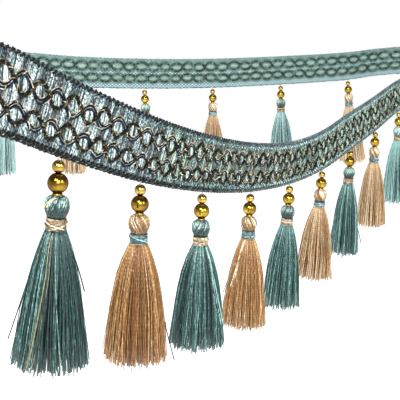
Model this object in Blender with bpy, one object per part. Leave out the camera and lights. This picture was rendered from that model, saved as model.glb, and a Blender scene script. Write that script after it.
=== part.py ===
"""Tassel fringe trim: one continuous braid led round in a loop, with bead-strung tassels along it.

The braid's top edge follows ROUTE. A tassel hangs from the lower edge at each row that has a swing.
The origin is the top edge's near end, +Y runs along the loop and +Z is up.
"""
import math

import bmesh
import bpy
import numpy as np

MM = 0.001

# Braid: a woven band with two raised rows of gimp chain on its outer face
BRAID_WIDTH = 33 * MM
BRAID_STEP = 7.5 * MM
EDGE_CORD_HALF = 0.9 * MM
GROUND_FACE = 0.6 * MM
CHAIN_HIGH = 1.4 * MM
CHAIN_LOW = 0.8 * MM
CHAIN_ROWS = (0.29, 0.71)
CHAIN_GROOVES = (0.14, 0.50, 0.86)

# Bead string: the thread, a small and a big gilt bead and a gilt collar, downwards from the braid
SEAT_GAP = 0.3 * MM
THREAD_RADIUS = 0.5 * MM
THREAD_SHOWS = 2.8 * MM
SMALL_BEAD = 6.0 * MM
BIG_BEAD = 9.5 * MM
BEAD_HOLE_RADIUS = 1.4 * MM
COLLAR_RADIUS = 2.4 * MM
COLLAR_HIGH = 1.2 * MM
STRING_SIDES = 8

# Tassel: a round head, a neck inside the binding, and a skirt of cut yarn
HEAD_WIDTH = 11.3 * MM
HEAD_HIGH = 10.4 * MM
NECK_RADIUS = 4.0 * MM
BINDING_HIGH = 5.6 * MM
BINDING_THICK = 0.6 * MM
HEAD_SIDES = 10
ROOT_RADIUS = 4.9 * MM
ROOT_HIGH = 0.8 * MM
SKIRT_LONG = 63 * MM
LOCK_UNEVEN = 1.8 * MM
SHOULDER = 0.30 * SKIRT_LONG
# Down the head: share of half its width, share of its height
HEAD_PROFILE = ((0.34, 0.0), (0.76, 0.10), (1.0, 0.42), (0.93, 0.72))
# A lock's root, shoulder and cut end: inner radius, outer radius and half angle in degrees. The
# root's radii are lengths, the others are shares of half the skirt's width.
OUTER_LOCKS = 9
OUTER_LOCK = ((3.0 * MM, 4.3 * MM, 16.0), (0.44, 0.66, 16.5), (0.70, 1.0, 16.5))
INNER_LOCKS = 4
INNER_LOCK = ((0.5 * MM, 2.5 * MM, 32.0), (0.09, 0.34, 36.0), (0.14, 0.56, 38.0))

# Route of the top edge: place in mm, lean of the face in degrees (its top towards the inside of the
# loop), swing in degrees towards +X of the tassel that hangs there, and half the skirt's width in mm
ROUTE = (
    # x, y, z, lean, swing, skirt
    (0, 0, 0, 0, None, 0),
    (11, 29, -6, 0, None, 0),
    (29, 83, -21, -5, -2.0, 17.5),
    (61, 153, -42, -6, -0.5, 17.0),
    (92, 231, -59, -5, -0.3, 17.0),
    (125, 315, -72, -5, -0.6, 15.5),
    (159, 401, -79, -4, -1.6, 15.0),
    (190, 480, -78, 2, -1.6, 16.0),
    (223, 560, -69, 7, -0.8, 14.0),
    (259, 638, -58, 7, 0.9, 15.0),
    (299, 717, -43, 4, 2.0, 15.5),
    (327, 756, -33, 4, None, 0),
    (359, 788, -22, 3, 0.5, 15.0),
    (373, 829, -12, 3, None, 0),
    (350, 865, -6, 6, 0.0, 15.5),
    (306, 869, -10, 8, None, 0),
    (262, 852, -16, 2, 6.5, 16.5),
    (177, 823, -23, 0, 3.8, 15.5),
    (95, 793, -28, 0, 2.6, 14.5),
    (17, 763, -30, 0, 4.5, 15.0),
    (-59, 731, -29, 0, 0.5, 15.0),
    (-129, 698, -24, 1, 0.0, 13.5),
    (-170, 679, -20, 0, None, 0),
)
SPAN_STEPS = 24

# Name, colour, roughness and metallic value of each material
MATERIALS = {
    "braid": ((0.33, 0.47, 0.45), 0.75, 0.0),
    "gilt": ((0.80, 0.58, 0.16), 0.22, 1.0),
    "teal_yarn": ((0.20, 0.37, 0.36), 0.50, 0.0),
    "champagne_yarn": ((0.68, 0.44, 0.25), 0.50, 0.0),
    "champagne_thread": ((0.78, 0.58, 0.40), 0.45, 0.0),
    "blue_thread": ((0.42, 0.62, 0.64), 0.45, 0.0),
}
TEAL_TASSEL = ("teal_yarn", "champagne_thread")
CHAMPAGNE_TASSEL = ("champagne_yarn", "blue_thread")


def make_material(name):
    colour, roughness, metallic = MATERIALS[name]
    material = bpy.data.materials.new(name)
    material.use_nodes = True
    shader = material.node_tree.nodes["Principled BSDF"]
    shader.inputs["Base Color"].default_value = (*colour, 1.0)
    shader.inputs["Roughness"].default_value = roughness
    shader.inputs["Metallic"].default_value = metallic
    return material


def place_object(name, mesh, location=(0, 0, 0), rotation=(0, 0, 0)):
    piece = bpy.data.objects.new(name, mesh)
    piece.location = location
    piece.rotation_euler = rotation
    bpy.context.scene.collection.objects.link(piece)
    return piece


def finish_mesh(bm, name, material, sharp_degrees):
    bmesh.ops.recalc_face_normals(bm, faces=bm.faces)
    mesh = bpy.data.meshes.new(name)
    bm.to_mesh(mesh)
    bm.free()
    mesh.materials.append(material)
    mesh.shade_smooth()
    mesh.set_sharp_from_angle(angle=math.radians(sharp_degrees))
    return mesh


def join_rings(bm, rings):
    """Skin a tube of quads over rings of vertices that all have the same count."""
    for upper, lower in zip(rings, rings[1:]):
        for i in range(len(upper)):
            j = (i + 1) % len(upper)
            bm.faces.new((upper[i], upper[j], lower[j], lower[i]))


def turn_profile(bm, profile, sides):
    """Spin a profile of (radius, height) points round the Z axis."""
    points = [bm.verts.new((radius, 0, height)) for radius, height in profile]
    edges = [bm.edges.new(pair) for pair in zip(points, points[1:])]
    bmesh.ops.spin(
        bm,
        geom=points + edges,
        axis=(0, 0, 1),
        cent=(0, 0, 0),
        angle=math.tau,
        steps=sides,
        use_merge=True,
    )


def cap_ends(bm):
    bmesh.ops.holes_fill(bm, edges=[edge for edge in bm.edges if edge.is_boundary])


def spline_through(rows):
    """Sample a centripetal Catmull-Rom curve through rows of numbers, SPAN_STEPS samples a span."""
    rows = np.array(rows, float)
    ends = (2 * rows[:1] - rows[1:2], 2 * rows[-1:] - rows[-2:-1])
    padded = np.concatenate([ends[0], rows, ends[1]])
    gaps = np.sqrt(np.linalg.norm(np.diff(padded[:, :3], axis=0), axis=1))
    knots = np.concatenate([[0], np.cumsum(gaps)])
    samples = []
    for k in range(1, len(padded) - 2):
        p = padded[k - 1:k + 3]
        t = knots[k - 1:k + 3]
        for u in np.linspace(t[1], t[2], SPAN_STEPS, endpoint=False):
            a = [((t[i + 1] - u) * p[i] + (u - t[i]) * p[i + 1]) / (t[i + 1] - t[i]) for i in range(3)]
            b = [((t[i + 2] - u) * a[i] + (u - t[i]) * a[i + 1]) / (t[i + 2] - t[i]) for i in range(2)]
            samples.append(((t[2] - u) * b[0] + (u - t[1]) * b[1]) / (t[2] - t[1]))
    samples.append(rows[-1])
    return np.array(samples)


class Route:
    """The braid's top edge with, at each distance along it, the way down its face and out of it."""

    def __init__(self, rows):
        curve = spline_through([row[:4] for row in rows])
        self.points = curve[:, :3] * MM
        steps = np.linalg.norm(np.diff(self.points, axis=0), axis=1)
        self.along = np.concatenate([[0], np.cumsum(steps)])
        self.length = self.along[-1]
        tangent = np.gradient(self.points, self.along, axis=0)
        tangent /= np.linalg.norm(tangent, axis=1)[:, None]
        upright = np.array([0, 0, 1.0]) - tangent * tangent[:, 2:]
        upright /= np.linalg.norm(upright, axis=1)[:, None]
        outwards = np.cross(tangent, upright)
        lean = np.radians(curve[:, 3:])
        self.down = np.sin(lean) * outwards - np.cos(lean) * upright
        self.out = np.cross(self.down, tangent)

    def at(self, distance):
        """Top point, downward and outward directions at a distance along the top edge."""
        values = []
        for table in (self.points, self.down, self.out):
            values.append(np.array([np.interp(distance, self.along, table[:, k]) for k in range(3)]))
        return values


def make_braid(route, material):
    bm = bmesh.new()
    count = round(route.length / BRAID_STEP)
    rings = []
    for i in range(count + 1):
        top, down, out = route.at(route.length * i / count)
        chain = CHAIN_HIGH if i % 2 else CHAIN_LOW
        section = (
            (0, EDGE_CORD_HALF),
            (CHAIN_GROOVES[0], GROUND_FACE),
            (CHAIN_ROWS[0], chain),
            (CHAIN_GROOVES[1], GROUND_FACE),
            (CHAIN_ROWS[1], CHAIN_HIGH + CHAIN_LOW - chain),
            (CHAIN_GROOVES[2], GROUND_FACE),
            (1, EDGE_CORD_HALF),
            (1, -EDGE_CORD_HALF),
            (0, -EDGE_CORD_HALF),
        )
        rings.append([bm.verts.new(top + down * BRAID_WIDTH * a + out * b) for a, b in section])
    join_rings(bm, rings)
    for ring in (rings[0], rings[-1]):
        end_face = bm.faces.new(ring)
        bmesh.ops.triangulate(bm, faces=[end_face])
    place_object("braid", finish_mesh(bm, "braid", material, 50))


def bead_profile(top, diameter, bands):
    """Points down the outside of a drilled bead, from the rim of its hole to the other rim."""
    radius = diameter / 2
    start = math.asin(BEAD_HOLE_RADIUS / radius)
    points = []
    for i in range(bands + 1):
        angle = start + (math.pi - 2 * start) * i / bands
        points.append((radius * math.sin(angle), top - radius + radius * math.cos(angle)))
    return points


def make_bead_string_mesh(material):
    bm = bmesh.new()
    small_top = -THREAD_SHOWS
    big_top = small_top - SMALL_BEAD + SEAT_GAP
    profile = [(THREAD_RADIUS, -SEAT_GAP), (THREAD_RADIUS, small_top)]
    profile += bead_profile(small_top, SMALL_BEAD, 3)[:-1]
    profile += bead_profile(big_top, BIG_BEAD, 5)
    collar_top = profile[-1][1]
    profile += [(COLLAR_RADIUS, collar_top), (COLLAR_RADIUS, collar_top - COLLAR_HIGH)]
    turn_profile(bm, profile, STRING_SIDES)
    cap_ends(bm)
    return finish_mesh(bm, "bead_string", material, 45), collar_top - COLLAR_HIGH


def make_lock(bm, form, skirt, angle, heights):
    """A four-sided lock of yarn from its root down to its cut end; returns the root's edges."""
    rings = []
    for (inner, outer, half_angle), height, scale in zip(form, heights, (1, skirt, skirt)):
        ring = []
        for radius, side in ((inner, -1), (outer, -1), (outer, 1), (inner, 1)):
            turn = angle + side * math.radians(half_angle)
            x = radius * scale * math.cos(turn)
            y = radius * scale * math.sin(turn)
            ring.append(bm.verts.new((x, y, height)))
        rings.append(ring)
    join_rings(bm, rings)
    bm.faces.new(rings[-1])
    root = rings[0]
    return [bm.edges.get((root[i - 1], root[i])) for i in range(len(root))]


def make_tassel_mesh(name, top, skirt, seed, material):
    """Head, neck and skirt in one mesh; the locks grow out of the flat end of the neck."""
    bm = bmesh.new()
    neck_top = top - HEAD_HIGH
    root = neck_top - BINDING_HIGH - ROOT_HIGH
    profile = [(share * HEAD_WIDTH / 2, top - down * HEAD_HIGH) for share, down in HEAD_PROFILE]
    profile += [(NECK_RADIUS, neck_top), (NECK_RADIUS, root + ROOT_HIGH), (ROOT_RADIUS, root)]
    turn_profile(bm, profile, HEAD_SIDES)
    rims = [edge for edge in bm.edges if edge.is_boundary]
    lower_rim = [edge for edge in rims if edge.verts[0].co.z < neck_top]
    upper_rim = [edge for edge in rims if edge.verts[0].co.z > neck_top]
    bmesh.ops.holes_fill(bm, edges=upper_rim)

    locks = [(OUTER_LOCK, OUTER_LOCKS, k) for k in range(OUTER_LOCKS)]
    locks += [(INNER_LOCK, INNER_LOCKS, k) for k in range(INNER_LOCKS)]
    edges = list(lower_rim)
    for index, (form, count, k) in enumerate(locks):
        uneven = math.sin(seed * 2.3 + index * 4.1)
        angle = math.tau * (k + 0.5 + 0.05 * uneven) / count
        end = root - SKIRT_LONG + LOCK_UNEVEN * uneven
        edges += make_lock(bm, form, skirt, angle, (root, root - SHOULDER, end))
    bmesh.ops.triangle_fill(bm, use_beauty=True, edges=edges, normal=(0, 0, -1))
    return finish_mesh(bm, name, material, 50)


def make_binding_mesh(name, top, material):
    """A flat band wound round the neck."""
    bm = bmesh.new()
    inner = NECK_RADIUS + SEAT_GAP
    outer = inner + BINDING_THICK
    high = BINDING_HIGH - 2 * SEAT_GAP
    upper = top - SEAT_GAP
    lower = upper - high
    profile = ((inner, upper), (outer, upper), (outer, lower), (inner, lower))
    turn_profile(bm, profile, HEAD_SIDES)
    rims = [edge for edge in bm.edges if edge.is_boundary]
    bmesh.ops.bridge_loops(bm, edges=rims)
    return finish_mesh(bm, name, material, 60)


for old in list(bpy.data.objects):
    bpy.data.objects.remove(old, do_unlink=True)

materials = {name: make_material(name) for name in MATERIALS}
route = Route(ROUTE)
make_braid(route, materials["braid"])

string_mesh, string_end = make_bead_string_mesh(materials["gilt"])
head_top = string_end - SEAT_GAP
binding_top = head_top - HEAD_HIGH
binding_meshes = {}
for slot in (TEAL_TASSEL[1], CHAMPAGNE_TASSEL[1]):
    binding_meshes[slot] = make_binding_mesh("binding_" + slot, binding_top, materials[slot])

hung_rows = [index for index, row in enumerate(ROUTE) if row[4] is not None]
for number, index in enumerate(hung_rows, start=1):
    yarn, thread = TEAL_TASSEL if number % 2 else CHAMPAGNE_TASSEL
    swing, skirt = ROUTE[index][4:]
    top, down, _ = route.at(route.along[index * SPAN_STEPS])
    hanging_point = top + down * BRAID_WIDTH
    turned = (0, -math.radians(swing), 0)
    tassel_mesh = make_tassel_mesh(f"tassel_{number:02d}", head_top, skirt * MM, number, materials[yarn])
    place_object(f"beads_{number:02d}", string_mesh, hanging_point, turned)
    place_object(f"tassel_{number:02d}", tassel_mesh, hanging_point, turned)
    place_object(f"binding_{number:02d}", binding_meshes[thread], hanging_point, turned)
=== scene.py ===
"""Tassel fringe trim: a gimped braid led round in a loop, with bead strings and tassels along it."""
import math

import bmesh
import bpy
import numpy as np
from mathutils import Matrix, Vector


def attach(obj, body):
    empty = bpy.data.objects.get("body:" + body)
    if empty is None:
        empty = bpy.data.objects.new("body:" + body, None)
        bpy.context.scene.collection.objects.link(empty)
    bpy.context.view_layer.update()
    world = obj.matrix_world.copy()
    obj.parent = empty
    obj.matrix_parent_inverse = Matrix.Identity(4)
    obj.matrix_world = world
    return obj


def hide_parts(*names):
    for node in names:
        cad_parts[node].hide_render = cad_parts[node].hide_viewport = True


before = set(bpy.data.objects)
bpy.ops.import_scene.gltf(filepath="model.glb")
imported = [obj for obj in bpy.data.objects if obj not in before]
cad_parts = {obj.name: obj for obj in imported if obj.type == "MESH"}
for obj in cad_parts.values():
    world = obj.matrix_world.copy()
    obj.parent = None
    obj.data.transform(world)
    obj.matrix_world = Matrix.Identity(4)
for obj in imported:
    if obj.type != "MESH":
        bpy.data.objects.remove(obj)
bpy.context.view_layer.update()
MM = 0.001


# Camera, light and floor
# The camera stands level with the trim's near end and looks along it, ten degrees down and turned
# two degrees about its own axis. White paper lies under the trim and the horizon is as bright.
CAMERA_PLACE = (0.086, -0.340, 0.002)
CAMERA_PITCH = 10
CAMERA_ROLL = 2
CAMERA_LENS = 85.5
LIGHT_AIM = Vector((0.12, 0.35, -0.08))
SOFTBOXES = (
    # name, place, width in metres, watts
    ("key", (-0.35, -1.05, 1.00), 0.6, 30),
    ("fill", (1.50, -0.80, 0.60), 0.8, 14),
    ("top", (0.20, 1.10, 1.50), 1.2, 20),
    ("window", (0.30, -1.00, 0.40), 0.66, 12),
)
WHITE = (1, 1, 1, 1)
# Height on the studio's walls, from the horizon at 0 to overhead at 1, and how bright they are there
STUDIO_WALLS = ((0.0, WHITE), (0.14, WHITE), (0.34, (0.22, 0.23, 0.24, 1)))
PAPER_GREY = (0.95, 0.95, 0.95, 1)
PAPER_GLOW = 0.75
FLOOR_LEVEL = -0.60
FLOOR_HALF = 30

camera = bpy.data.objects.new("camera", bpy.data.cameras.new("camera"))
camera.data.lens = CAMERA_LENS
camera.data.clip_start = 0.01
camera.matrix_world = (
    Matrix.Translation(CAMERA_PLACE)
    @ Matrix.Rotation(math.radians(90 - CAMERA_PITCH), 4, "X")
    @ Matrix.Rotation(math.radians(CAMERA_ROLL), 4, "Z")
)
bpy.context.scene.collection.objects.link(camera)
bpy.context.scene.camera = camera
bpy.context.scene.view_settings.view_transform = "Standard"

for name, place, width, watts in SOFTBOXES:
    softbox = bpy.data.objects.new(name, bpy.data.lights.new(name, "AREA"))
    softbox.data.size = width
    softbox.data.energy = watts
    softbox.location = place
    softbox.rotation_euler = (LIGHT_AIM - softbox.location).to_track_quat("-Z", "Y").to_euler()
    bpy.context.scene.collection.objects.link(softbox)


class Value:
    """A number that varies over a surface. Sums written with it add Math nodes to the tree."""

    def __init__(self, tree, socket):
        self.tree = tree
        self.socket = socket

    def sum_of(self, operation, *values):
        node = self.tree.nodes.new("ShaderNodeMath")
        node.operation = operation
        for entry, value in zip(node.inputs, values):
            if isinstance(value, Value):
                self.tree.links.new(value.socket, entry)
            else:
                entry.default_value = value
        return Value(self.tree, node.outputs[0])

    def __add__(self, other):
        return self.sum_of("ADD", self, other)

    def __sub__(self, other):
        return self.sum_of("SUBTRACT", self, other)

    def __rsub__(self, other):
        return self.sum_of("SUBTRACT", other, self)

    def __mul__(self, other):
        return self.sum_of("MULTIPLY", self, other)

    def wave(self, pitch):
        """A sine from -1 to 1 that repeats at the pitch."""
        return self.sum_of("SINE", self * (math.tau / pitch))

    __radd__ = __add__
    __rmul__ = __mul__


class Nodes:
    """A node tree, with one method that adds any node to it and names for the ones used most."""

    def __init__(self, tree):
        self.tree = tree

    def add(self, kind, settings, inputs, output=0):
        node = self.tree.nodes.new(kind)
        for name, value in settings.items():
            if name == "stops":
                self.set_stops(node.color_ramp, value)
            else:
                setattr(node, name, value)
        for name, value in inputs.items():
            self.plug(node.inputs[name], value)
        return Value(self.tree, node.outputs[output])

    def plug(self, socket, value):
        if isinstance(value, Value):
            self.tree.links.new(value.socket, socket)
        else:
            socket.default_value = value

    def set_stops(self, ramp, stops):
        while len(ramp.elements) < len(stops):
            ramp.elements.new(1.0)
        for element, (position, colour) in zip(ramp.elements, stops):
            element.position = position
            element.color = colour

    def part(self, vector, axis):
        return self.add("ShaderNodeSeparateXYZ", {}, {"Vector": vector}, axis)

    def ramp(self, value, *stops):
        return self.add("ShaderNodeValToRGB", {"stops": stops}, {"Fac": value}, "Color")


class Finish(Nodes):
    """One material: its nodes, its shader and the constants of that shader."""

    def __init__(self, name, **constants):
        self.material = bpy.data.materials.new(name)
        self.material.use_nodes = True
        super().__init__(self.material.node_tree)
        self.shader = self.tree.nodes["Principled BSDF"]
        for socket, value in constants.items():
            self.shader.inputs[socket.replace("_", " ")].default_value = value

    def show(self, **links):
        for socket, value in links.items():
            self.plug(self.shader.inputs[socket.replace("_", " ")], value)
        return self.material

    def attribute(self, name):
        return self.add("ShaderNodeAttribute", {"attribute_name": name}, {}, "Fac")

    def place(self):
        return self.add("ShaderNodeTexCoord", {}, {}, "Object")

    def tape(self):
        return self.add("ShaderNodeUVMap", {"uv_map": "tape"}, {}, "UV")

    def noise(self, vector, scale, detail=2.0):
        inputs = {"Vector": vector, "Scale": scale, "Detail": detail}
        return self.add("ShaderNodeTexNoise", {}, inputs, "Fac")

    def mix(self, factor, first, second):
        settings = {"data_type": "RGBA", "blend_type": "MIX", "clamp_factor": True}
        return self.add("ShaderNodeMix", settings, {0: factor, 6: first, 7: second}, 2)

    def bump(self, height, depth, strength):
        inputs = {"Height": height, "Distance": depth, "Strength": strength}
        return self.add("ShaderNodeBump", {}, inputs, "Normal")


def dye(red, green, blue):
    """A colour as read off the trim, 0 to 255, in the shader's linear values."""
    return tuple(((level / 255 + 0.055) / 1.055) ** 2.4 for level in (red, green, blue)) + (1.0,)


world = bpy.data.worlds.new("studio")
world.use_nodes = True
bpy.context.scene.world = world
sky = Nodes(world.node_tree)
direction = sky.add("ShaderNodeTexCoord", {}, {}, "Generated")
walls = sky.ramp(sky.part(direction, "Z"), *STUDIO_WALLS)
sky.plug(world.node_tree.nodes["Background"].inputs["Color"], walls)


def link_mesh(name, bm, *materials):
    """Turn a finished bmesh into an object that stands at the origin."""
    mesh = bpy.data.meshes.new(name)
    bm.to_mesh(mesh)
    bm.free()
    mesh.shade_smooth()
    return link_piece(name, mesh, *materials)


def link_piece(name, mesh, *materials):
    """Put a mesh that already lies in its place into the scene."""
    for material in materials:
        mesh.materials.append(material)
    piece = bpy.data.objects.new(name, mesh)
    bpy.context.scene.collection.objects.link(piece)
    return piece


paper = Finish("paper", Base_Color=PAPER_GREY, Roughness=0.9)
paper.show(Emission_Color=WHITE, Emission_Strength=PAPER_GLOW)
bm = bmesh.new()
bmesh.ops.create_grid(bm, x_segments=1, y_segments=1, size=FLOOR_HALF)
bmesh.ops.translate(bm, verts=bm.verts, vec=(0, 0, FLOOR_LEVEL))
floor = link_mesh("floor", bm, paper.material)


# Braid ground
# The ground is a firm woven tape, 33 mm wide, that hangs on edge along one continuous route.
# It carries the satin puffs and the gimp cords on its face, and the reverse shows behind it.
BRAID_WIDTH = 33 * MM
GROUND_HALF = 0.5 * MM
GROUND_COLUMNS = 700
GROUND_ROWS = 10
GROUND_RIB = 0.9 * MM
SPAN_STEPS = 24
# Route of the top edge: place in mm, lean of the face in degrees (its top towards the inside of the
# loop), swing in degrees towards +X of the tassel that hangs there, and half the skirt's width in mm
ROUTE = (
    # x, y, z, lean, swing, skirt
    (0, 0, 0, 0, None, 0),
    (11, 29, -6, 0, None, 0),
    (29, 83, -21, -5, -2.0, 17.5),
    (61, 153, -42, -6, -0.5, 17.0),
    (92, 231, -59, -5, -0.3, 17.0),
    (125, 315, -72, -5, -0.6, 15.5),
    (159, 401, -79, -4, -1.6, 15.0),
    (190, 480, -78, 2, -1.6, 16.0),
    (223, 560, -69, 7, -0.8, 14.0),
    (259, 638, -58, 7, 0.9, 15.0),
    (299, 717, -43, 4, 2.0, 15.5),
    (327, 756, -33, 4, None, 0),
    (359, 788, -22, 3, 0.5, 15.0),
    (373, 829, -12, 3, None, 0),
    (350, 865, -6, 6, 0.0, 15.5),
    (306, 869, -10, 8, None, 0),
    (262, 852, -16, 2, 6.5, 16.5),
    (177, 823, -23, 0, 3.8, 15.5),
    (95, 793, -28, 0, 2.6, 14.5),
    (17, 763, -30, 0, 4.5, 15.0),
    (-59, 731, -29, 0, 0.5, 15.0),
    (-129, 698, -24, 1, 0.0, 13.5),
    (-170, 679, -20, 0, None, 0),
)


def spline_through(rows):
    """Sample a centripetal Catmull-Rom curve through rows of numbers, SPAN_STEPS samples a span."""
    rows = np.array(rows, float)
    ends = (2 * rows[:1] - rows[1:2], 2 * rows[-1:] - rows[-2:-1])
    padded = np.concatenate([ends[0], rows, ends[1]])
    gaps = np.sqrt(np.linalg.norm(np.diff(padded[:, :3], axis=0), axis=1))
    knots = np.concatenate([[0], np.cumsum(gaps)])
    samples = []
    for k in range(1, len(padded) - 2):
        p = padded[k - 1:k + 3]
        t = knots[k - 1:k + 3]
        for u in np.linspace(t[1], t[2], SPAN_STEPS, endpoint=False):
            a = [((t[i + 1] - u) * p[i] + (u - t[i]) * p[i + 1]) / (t[i + 1] - t[i]) for i in range(3)]
            b = [((t[i + 2] - u) * a[i] + (u - t[i]) * a[i + 1]) / (t[i + 2] - t[i]) for i in range(2)]
            samples.append(((t[2] - u) * b[0] + (u - t[1]) * b[1]) / (t[2] - t[1]))
    samples.append(rows[-1])
    return np.array(samples)


class Route:
    """The braid's top edge with, at each distance along it, the way down its face and out of it."""

    def __init__(self, rows):
        curve = spline_through([row[:4] for row in rows])
        self.points = curve[:, :3] * MM
        steps = np.linalg.norm(np.diff(self.points, axis=0), axis=1)
        self.along = np.concatenate([[0], np.cumsum(steps)])
        self.length = self.along[-1]
        tangent = np.gradient(self.points, self.along, axis=0)
        tangent /= np.linalg.norm(tangent, axis=1)[:, None]
        upright = np.array([0, 0, 1.0]) - tangent * tangent[:, 2:]
        upright /= np.linalg.norm(upright, axis=1)[:, None]
        outwards = np.cross(tangent, upright)
        lean = np.radians(curve[:, 3:])
        self.down = np.sin(lean) * outwards - np.cos(lean) * upright
        self.out = np.cross(self.down, tangent)

    def lay(self, distance, down, out):
        """Points at distances along the route, down the face from the top edge, and out of it."""
        distance, down, out = np.broadcast_arrays(distance, down, out)

        def read(table):
            return np.stack([np.interp(distance, self.along, table[:, k]) for k in range(3)], -1)

        return read(self.points) + read(self.down) * down[..., None] + read(self.out) * out[..., None]


def ground_finish():
    """Satin tape: fine ribs across, dyed a greyed teal that changes a little from rib to rib, and kept dark
    as painted shade in the gaps between the satin yarns.
    """
    finish = Finish("braid_ground", Roughness=0.55, Sheen_Weight=0.3)
    uv = finish.tape()
    ribs = finish.part(uv, "X").wave(GROUND_RIB) * 0.5 + 0.5
    patches = finish.noise(uv, 260.0)
    shade = patches * 0.6 + ribs * 0.4
    # Painted shade: the ground's dark ramp shows through the gaps between the satin yarns
    colour = finish.ramp(shade, (0.15, dye(14, 24, 28)), (0.5, dye(30, 50, 54)), (0.85, dye(60, 92, 94)))
    return finish.show(Base_Color=colour, Normal=finish.bump(ribs, 0.3 * MM, 0.6))


def tape_grid(route, columns, rows, height_at):
    """A grid laid along the route, with its distances along and down the tape kept as a UV map."""
    bm = bmesh.new()
    bmesh.ops.create_grid(bm, x_segments=columns, y_segments=rows, size=0.5)
    layer = bm.loops.layers.uv.new("tape")
    for face in bm.faces:
        for loop in face.loops:
            place = loop.vert.co
            loop[layer].uv = ((place.x + 0.5) * route.length, (0.5 - place.y) * BRAID_WIDTH)
    flat = np.array([vert.co for vert in bm.verts])
    along = (flat[:, 0] + 0.5) * route.length
    down = (0.5 - flat[:, 1]) * BRAID_WIDTH
    for vert, point in zip(bm.verts, route.lay(along, down, height_at(along, down))):
        vert.co = point
    return bm


route = Route(ROUTE)
bm = tape_grid(route, GROUND_COLUMNS, GROUND_ROWS, lambda along, down: along * 0 + GROUND_HALF)
bmesh.ops.solidify(bm, geom=bm.faces[:], thickness=2 * GROUND_HALF)
bmesh.ops.recalc_face_normals(bm, faces=bm.faces)
ground = link_mesh("braid_ground", bm, ground_finish())
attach(ground, "root")
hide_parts("braid")


# Gimp chain cords
# Two rows of wavy cord lie on the face. In each row a flat ribbon of four coloured strands meets a
# dark three-ply rope in opposite waves, so that they cross and frame a chain of ovals.
CHAIN_PERIOD = 29.8 * MM
FAR_PERIOD = 28.6 * MM
FAR_CREST = 1088.8 * MM
CREST_UNEVEN = 0.9 * MM
CORD_FACE = 1.5 * MM
YARN_TWIST = 2.0 * MM
RIBBON_STEP = 1.6 * MM
RIBBON_STRAY = 0.50 * MM
STRAND_STRAY = 0.12 * MM
ROPE_STEP = 1.1 * MM
ROPE_STRAY = 0.55 * MM
ROPE_PITCH = 5.5 * MM
ROPE_PLY = 0.68 * MM
ROPE_UNEVEN = 0.13 * MM
ROPE_BACK = 0.3 * MM
# Distance along the braid in metres, and how full the rope's plies are there
ROPE_FILL = ((0.14, 0.28), (1.0, 1.22))
# Where they cross, the rope rises over the ribbon, which dips, and its plies are thicker and lighter
CROSSING_REACH = 2.2 * MM
CROSSING_LIFT = 0.90 * MM
CROSSING_DIP = 0.3 * CROSSING_LIFT
CROSSING_THICKNESS = (0.9, 0.3)
CROSSING_TINT = (0.30, 0.25)
CHAIN_ROWS = (
    # crests at the near end in mm, ribbon's middle line and swing, rope's middle line and swing
    ((-20.5, 11.3, 42.7, 75.5, 107.0, 134.3), 0.350, 0.118, 0.352, 0.142),
    ((-22.5, 8.5, 40.4, 75.0, 108.5, 134.5), 0.745, 0.112, 0.745, 0.132),
)
# Strand of the ribbon, from its upper side: yarn, radius and place across the ribbon in mm
RIBBON = (
    ("cream", 0.28, -1.30),
    ("black", 0.60, -0.60),
    ("lilac", 0.19, 0.14),
    ("navy", 0.66, 0.90),
)
# Distance along the braid in metres, and how full the cream strand is there
CREAM_FILL = ((0.14, 0.28), (1.0, 1.5))
# In the lower row one cream strand lies slack and cuts across a crest: where, how wide, how far up
SLACK_PLACE = 109 * MM
SLACK_REACH = 9 * MM
SLACK_RISE = 3.2 * MM
# Loose ends wander over each row: yarn, the cord it keeps to, and its reach and pitch in mm
WISPS = (("gold", "rope", 1.3, 9.3), ("cream", "ribbon", 1.6, 12.7))
WISP = 0.26 * MM
WISP_LIFT = 0.1 * MM
WISP_RISE = 0.9 * MM
WISP_CURL = 1.7
chance = np.random.default_rng(7)


def lay_strands(name, paths, radii, tints, material, sunk=None):
    """Round strands of yarn along the paths, which keep their tint, their run and the painted shade laid on
    them.
    """
    curve = bpy.data.curves.new(name, "CURVE")
    curve.dimensions = "3D"
    curve.twist_mode = "MINIMUM"
    curve.bevel_depth = 1.0
    curve.bevel_resolution = 0
    for path, radius in zip(paths, radii):
        spline = curve.splines.new("POLY")
        spline.points.add(len(path) - 1)
        spline.points.foreach_set("co", np.column_stack([path, np.ones(len(path))]).ravel())
        spline.points.foreach_set("radius", np.array(np.broadcast_to(radius, len(path)), float))
    pattern = bpy.data.objects.new(name, curve)
    mesh = bpy.data.meshes.new_from_object(pattern)
    bpy.data.objects.remove(pattern)
    bpy.data.curves.remove(curve)
    bm = bmesh.new()
    bm.from_mesh(mesh)
    bmesh.ops.holes_fill(bm, edges=bm.edges, sides=4)
    bm.to_mesh(mesh)
    bm.free()
    sides = len(mesh.vertices) // sum(len(path) for path in paths)
    runs = [np.concatenate([[0], np.cumsum(np.linalg.norm(np.diff(p, axis=0), axis=1))]) for p in paths]
    values = {
        "tint": np.concatenate([np.broadcast_to(tint, len(p)) for p, tint in zip(paths, tints)]),
        "run": np.concatenate(runs),
        "sunk": np.zeros(sum(len(p) for p in paths)) if sunk is None else np.concatenate(sunk),
    }
    for attribute, per_point in values.items():
        layer = mesh.attributes.new(attribute, "FLOAT", "POINT")
        layer.data.foreach_set("value", np.repeat(per_point, sides))
    mesh.shade_smooth()
    return link_piece(name, mesh, material)


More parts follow.
